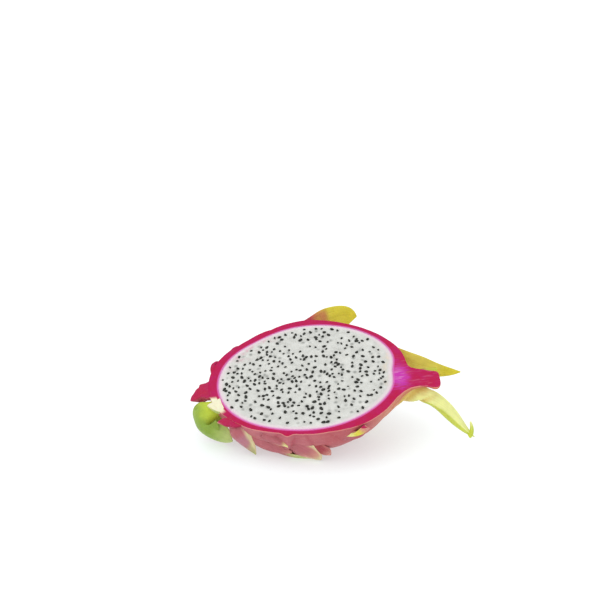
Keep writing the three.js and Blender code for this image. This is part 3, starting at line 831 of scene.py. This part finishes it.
def flecksOf(tree, where, scale, size, share):
    return useGroup(tree, smallFlecks, Vector=where, Scale=scale, Size=size, Share=share).outputs["Mask"]


skinLook = {
    "pink": paint(178, 88, 102),
    "rose": paint(182, 110, 118),
    "deep": paint(164, 50, 72),
    "orange": paint(204, 128, 88),
    "warmRed": paint(178, 80, 84),
    "cutEdgeHighlight": paint(226, 150, 138),
    "blush": paint(214, 134, 132),
    "fleck": paint(216, 150, 142),
}

scaleShade = (0.72, 0.7, 0.6)  # darkens the veins of the scales

rimLook = {
    "crimson": paint(184, 16, 62),
    "magenta": paint(184, 22, 96),
    "lilac": paint(222, 116, 190),
    "violet": paint(200, 58, 178),
    "fibre": paint(232, 168, 206),
    "cream": paint(244, 240, 206),
}

fleshLook = {
    "white": paint(228, 229, 224),
    "grey": paint(198, 199, 194),
    "deepSeed": paint(104, 108, 104),
    "peach": paint(232, 214, 190),
    "stain": paint(214, 178, 186),
    "band": paint(230, 214, 220),
    "rimBand": paint(226, 160, 204),
}

seedLook = {
    "black": paint(10, 12, 10),
    "grey": paint(34, 36, 30),
    "fleck": paint(70, 70, 58),
}


def skinMaterial():
    # pink with rose patches, pale streaks, painted shade in the creases, red in the middle, orange towards
    # the neck,
    #  and a painted highlight along the cut edge
    material, tree, shader = newMaterial("fruitSkin", roughness=0.45, specular=0.25, subsurface=0.12,
                                         radius=(1.0, 0.35, 0.3), depth=0.002)
    where = objectCoordinates(tree)
    along, across, down = (attributeOf(tree, k) for k in ("along", "acrossCut", "depth"))
    fine = patchesOf(tree, where, 420.0, 1.6)
    lines = addNode(tree, "ShaderNodeCombineXYZ", None, X=times(tree, along, 0.1), Y=across, Z=down)
    streaks = patchesOf(tree, lines.outputs[0], 0.55, 2.4)
    middle = times(tree, rangeOf(tree, along, -12.0, 14.0), rangeOf(tree, along, 22.0, 44.0, 0.65, 0.0))
    colour = mixColours(tree, patchesOf(tree, where, 55.0, 1.8), skinLook["pink"], skinLook["rose"])
    colour = layered(tree, colour, skinLook, [
        ("blush", streaks, 0.4),
        ("deep", fine, 0.25),
        # painted shade: the skin is darker in the creases between the cushions
        ("deep", rangeOf(tree, attributeOf(tree, "crease"), 0.45, 1.0), 0.45),
        ("warmRed", middle),
        ("orange", rangeOf(tree, along, 26.0, 48.0, 0.0, 0.85)),
        ("fleck", flecksOf(tree, where, 900.0, 0.42, 0.35), 0.3),
        # painted highlight: the skin is paler along the knife-cut edge
        ("cutEdgeHighlight", rangeOf(tree, attributeOf(tree, "toSkin"), 0.15, 1.1, 0.7, 0.0)),
    ])
    applyLook(tree, shader, colour, fine, 0.35, 0.0006)
    return material


def distanceIn(tree, x, y, centre, stretch):
    # distance from a centre in the cut plane, each direction weighed
    dx = times(tree, mathOf(tree, "SUBTRACT", x, centre[0]), stretch[0])
    dy = times(tree, mathOf(tree, "SUBTRACT", y, centre[1]), stretch[1])
    return mathOf(tree, "SQRT", mathOf(tree, "ADD", times(tree, dx, dx), times(tree, dy, dy)))


def cutRindGroup():
    # the cut rind's colours from its place in the cut and its distance from the flesh, in mm:
    # crimson, violet with pale fibres at the neck, cream at the stem, a lilac line at the flesh
    group, into, out = newGroup("cutRind", {"Along": 0.0, "Across": 0.0, "To Flesh": 99.0},
                                {"Color": "Color", "Height": "Float"})
    where, along, across, toFlesh = (into.outputs[k] for k in ("Vector", "Along", "Across", "To Flesh"))
    soft = patchesOf(group, where, 150.0, 2.0)
    grain = patchesOf(group, where, 700.0, 1.5)
    stretched = addNode(group, "ShaderNodeCombineXYZ", None, X=times(group, along, 0.12), Y=across)
    fibres = patchesOf(group, stretched.outputs[0], 0.9, 3.0)
    streak = times(group, rangeOf(group, fibres, 0.62, 0.9), rangeOf(group, along, 50.0, 58.0, 0.0, 0.14))
    frayed = times(group, mathOf(group, "SUBTRACT", fibres, 0.5), 5.0)
    toNeck = mathOf(group, "ADD", distanceIn(group, along, across, (51.5, -9.0), (1.0, 0.62)), frayed)
    pale = times(group, rangeOf(group, toNeck, 1.0, 7.0, 0.55, 0.0), rangeOf(group, fibres, 0.5, 0.75))
    toStem = distanceIn(group, along, across, (-53.5, -14.5), (1.0, 0.9))
    toStem = mathOf(group, "ADD", toStem, times(group, soft, 3.0))
    clear = rangeOf(group, toFlesh, 1.6, 2.4)
    colour = mixColours(group, soft, rimLook["crimson"], rimLook["magenta"])
    colour = layered(group, colour, rimLook, [
        ("fibre", streak),
        ("violet", rangeOf(group, toNeck, 2.5, 8.5, 0.9, 0.0)),
        ("fibre", pale),
        ("lilac", rangeOf(group, toFlesh, 0.2, 1.1, 0.9, 0.0)),
        ("cream", rangeOf(group, toStem, 5.5, 9.5, 1.0, 0.0), clear),
    ])
    group.links.new(colour, out.inputs["Color"])
    group.links.new(grain, out.inputs["Height"])
    return group


cutRind = cutRindGroup()


def useCutRind(tree, where):
    along, across, toFlesh = (attributeOf(tree, k) for k in ("along", "acrossCut", "toFlesh"))
    return useGroup(tree, cutRind, Vector=where, Along=along, Across=across, **{"To Flesh": toFlesh})


def rimMaterial():
    material, tree, shader = newMaterial("cutRind", roughness=0.4, specular=0.15, subsurface=0.1,
                                         radius=(1.0, 0.3, 0.5), depth=0.0015)
    cut = useCutRind(tree, objectCoordinates(tree))
    applyLook(tree, shader, cut.outputs["Color"], cut.outputs["Height"], 0.25, 0.0005)
    return material


def scaleMaterial():
    # the blade's own tints, darker along its veins; where it is cut flat it looks like the cut rind
    material, tree, shader = newMaterial("scales", roughness=0.45, specular=0.25, subsurface=0.12,
                                         radius=(0.8, 0.6, 0.25), depth=0.002)
    where = objectCoordinates(tree)
    lines = addNode(tree, "ShaderNodeCombineXYZ", None, X=times(tree, attributeOf(tree, "alongScale"), 1.6),
                    Y=times(tree, attributeOf(tree, "acrossScale"), 9.0))
    veins = patchesOf(tree, lines.outputs[0], 1.6, 2.2)
    fine = patchesOf(tree, where, 500.0, 1.6)
    tint = attributeOf(tree, "tint", "Color")
    look = {"shaded": mixColours(tree, 1.0, tint, scaleShade, "MULTIPLY"),
            "cut": useCutRind(tree, where).outputs["Color"]}
    colour = layered(tree, tint, look, [
        ("shaded", veins, 0.5),
        ("shaded", fine, 0.2),
        ("cut", rangeOf(tree, attributeOf(tree, "cutFlat"), 0.4, 0.9)),
    ])
    applyLook(tree, shader, colour, mathOf(tree, "ADD", veins, times(tree, fine, 0.3)), 0.4, 0.0006)
    return material


def fleshMaterial():
    # greyish white with deep seeds showing through, warm at the crown end, stained at the far stem end,
    # with a pink band and a lilac line at its edge
    material, tree, shader = newMaterial("whiteFlesh", roughness=0.4, specular=0.25, subsurface=0.35,
                                         radius=(1.0, 0.95, 0.9), depth=0.002)
    where = objectCoordinates(tree)
    edge, along, across = (attributeOf(tree, k) for k in ("edge", "alongCut", "acrossCut"))
    broad = patchesOf(tree, where, 170.0, 2.2)
    fine = patchesOf(tree, where, 800.0, 2.0)
    deep = times(tree, flecksOf(tree, where, 230.0, 0.42, 0.55), rangeOf(tree, edge, 0.88, 0.94, 0.7, 0.0))
    warm = times(tree, rangeOf(tree, along, 41.0, 48.0), rangeOf(tree, broad, 0.5, 0.9))
    stained = times(tree, rangeOf(tree, edge, 0.72, 0.93), rangeOf(tree, broad, 0.4, 0.8))
    farStem = times(tree, rangeOf(tree, along, -8.0, -26.0), rangeOf(tree, across, 8.0, 24.0))
    colour = mixColours(tree, broad, fleshLook["white"], fleshLook["grey"])
    colour = layered(tree, colour, fleshLook, [
        ("grey", fine, 0.25),
        ("deepSeed", deep),
        ("grey", attributeOf(tree, "nearSeed"), 0.5),
        ("peach", warm, 0.8),
        ("stain", stained, farStem),
        ("band", rangeOf(tree, edge, 0.93, 0.975, 0.0, 0.8)),
        ("rimBand", rangeOf(tree, edge, 0.975, 1.0, 0.0, 0.95)),
    ])
    applyLook(tree, shader, colour, fine, 0.3, 0.0005)
    return material


def seedMaterial():
    material, tree, shader = newMaterial("seedCoat", roughness=0.35, specular=0.3)
    grain = patchesOf(tree, objectCoordinates(tree), 2500.0, 1.5)
    colour = mixColours(tree, attributeOf(tree, "shade"), seedLook["black"], seedLook["grey"])
    colour = layered(tree, colour, seedLook, [("fleck", grain, 0.3)])
    applyLook(tree, shader, colour, grain, 0.2, 0.0002)
    return material


def floorMaterial():
    # a light table that gives off less light close to the fruit: a painted soft shadow there
    material, tree, shader = newMaterial("litTable", roughness=0.8, specular=0.1)
    shader.inputs["Emission Strength"].default_value = room["tableGlow"]
    paintedShadow = addNode(tree, "ShaderNodeAmbientOcclusion", {"samples": 8}, Distance=room["shadowReach"])
    glow = mixColours(tree, paintedShadow.outputs["AO"], room["shadowGlow"], (1, 1, 1))
    tree.links.new(glow, shader.inputs["Emission Color"])
    grain = patchesOf(tree, objectCoordinates(tree), 30.0, 1.0)
    colour = mixColours(tree, times(tree, grain, 0.1), room["tableTone"], room["tableGrain"])
    tree.links.new(colour, shader.inputs["Base Color"])
    return material


# Camera, light and table

view = {
    "picture": 600,  # pixels
    "azimuth": -2.6,
    "elevation": 23.0,
    "distance": 815.0,  # mm from the cut face's centre, along the view's axis
    "faceAt": (307.33, 375.96),  # pixel of the picture where that centre lies
    "lens": 85.0,
    "sensor": 36.0,
}


def buildCamera():
    a, e = math.radians(view["azimuth"]), math.radians(view["elevation"])
    back = np.array([math.sin(a) * math.cos(e), -math.cos(a) * math.cos(e), math.sin(e)])
    right = np.array([math.cos(a), math.sin(a), 0.0])
    up = np.cross(back, right)
    perPixel = view["distance"] * view["sensor"] / view["lens"] / view["picture"]
    middle = view["picture"] / 2
    x, y = (view["faceAt"][0] - middle) * perPixel, (middle - view["faceAt"][1]) * perPixel
    place = (np.array(resting["faceCentre"]) - right * x - up * y + back * view["distance"]) / 1000
    camera = bpy.data.objects.new("camera", bpy.data.cameras.new("camera"))
    camera.data.lens, camera.data.sensor_width = view["lens"], view["sensor"]
    camera.data.clip_start, camera.data.clip_end = 0.02, 20
    pose = Matrix((right, up, back)).transposed().to_4x4()
    pose.translation = Vector(place)
    camera.matrix_world = pose
    bpy.context.scene.collection.objects.link(camera)
    bpy.context.scene.camera = camera


room = {
    "sky": (0.82, 0.82, 0.82),  # even white light from all round
    "backdrop": (1.0, 1.0, 1.0),  # what the camera sees past the table
    "sun": 0.9,  # strength of the soft light from above
    "sunFrom": (-0.5, -0.35, 1.0),
    "sunWidth": 60.0,  # degrees across, for soft shadows
    "tableGlow": 0.7,  # light that the table gives off itself, where nothing is near
    "shadowReach": 0.035,  # metres from the fruit at which that light is whole
    # the table's glow right beside the fruit, a painted shadow
    "shadowGlow": (0.68, 0.68, 0.68),
    "tableTone": (0.4, 0.45, 0.46),  # a little cool, against the pink that the fruit throws on it
    "tableGrain": (0.37, 0.42, 0.43),
    "tableCorners": [(-3, -3, 0), (3, -3, 0), (3, 5, 0), (-3, 5, 0)],  # metres
}


def buildLights():
    data = bpy.data.lights.new("softSun", "SUN")
    data.energy, data.angle = room["sun"], math.radians(room["sunWidth"])
    lamp = bpy.data.objects.new("softSun", data)
    lamp.rotation_euler = Vector(room["sunFrom"]).to_track_quat("Z", "Y").to_euler()
    bpy.context.scene.collection.objects.link(lamp)
    world = bpy.data.worlds.new("studio")
    world.use_nodes = True
    tree = world.node_tree
    sky = next(n for n in tree.nodes if n.type == "BACKGROUND")
    seen = addNode(tree, "ShaderNodeLightPath").outputs["Is Camera Ray"]
    tree.links.new(mixColours(tree, seen, room["sky"], room["backdrop"]), sky.inputs["Color"])
    bpy.context.scene.world = world
    bpy.context.scene.view_settings.view_transform = "Standard"


def buildFloor():
    corners = np.array(room["tableCorners"], float)
    return makePiece("table", corners, [[0, 1, 2, 3]], {}, [floorMaterial()])


buildCamera()
buildLights()
buildFloor()
print("scene: camera, light and table ready")

scales = allScales()
rind = buildRind(scales, [skinMaterial(), rimMaterial()])
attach(rind, "root")
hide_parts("rind")
print("scene: rind ready, faces", len(rind.data.polygons))

scaleLook = scaleMaterial()
for number, scale in enumerate(scales):
    piece = buildScale(scale, number, scaleLook)
    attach(piece, "root")
    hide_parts("rind")
print("scene: scales ready,", len(scales))

places = placeSeeds()
fleshPiece = buildFlesh(places, fleshMaterial())
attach(fleshPiece, "root")
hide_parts("flesh")
seedPiece = buildSeeds(places, seedMaterial())
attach(seedPiece, "root")
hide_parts("flesh")
print("scene: flesh and seeds ready,", len(places))
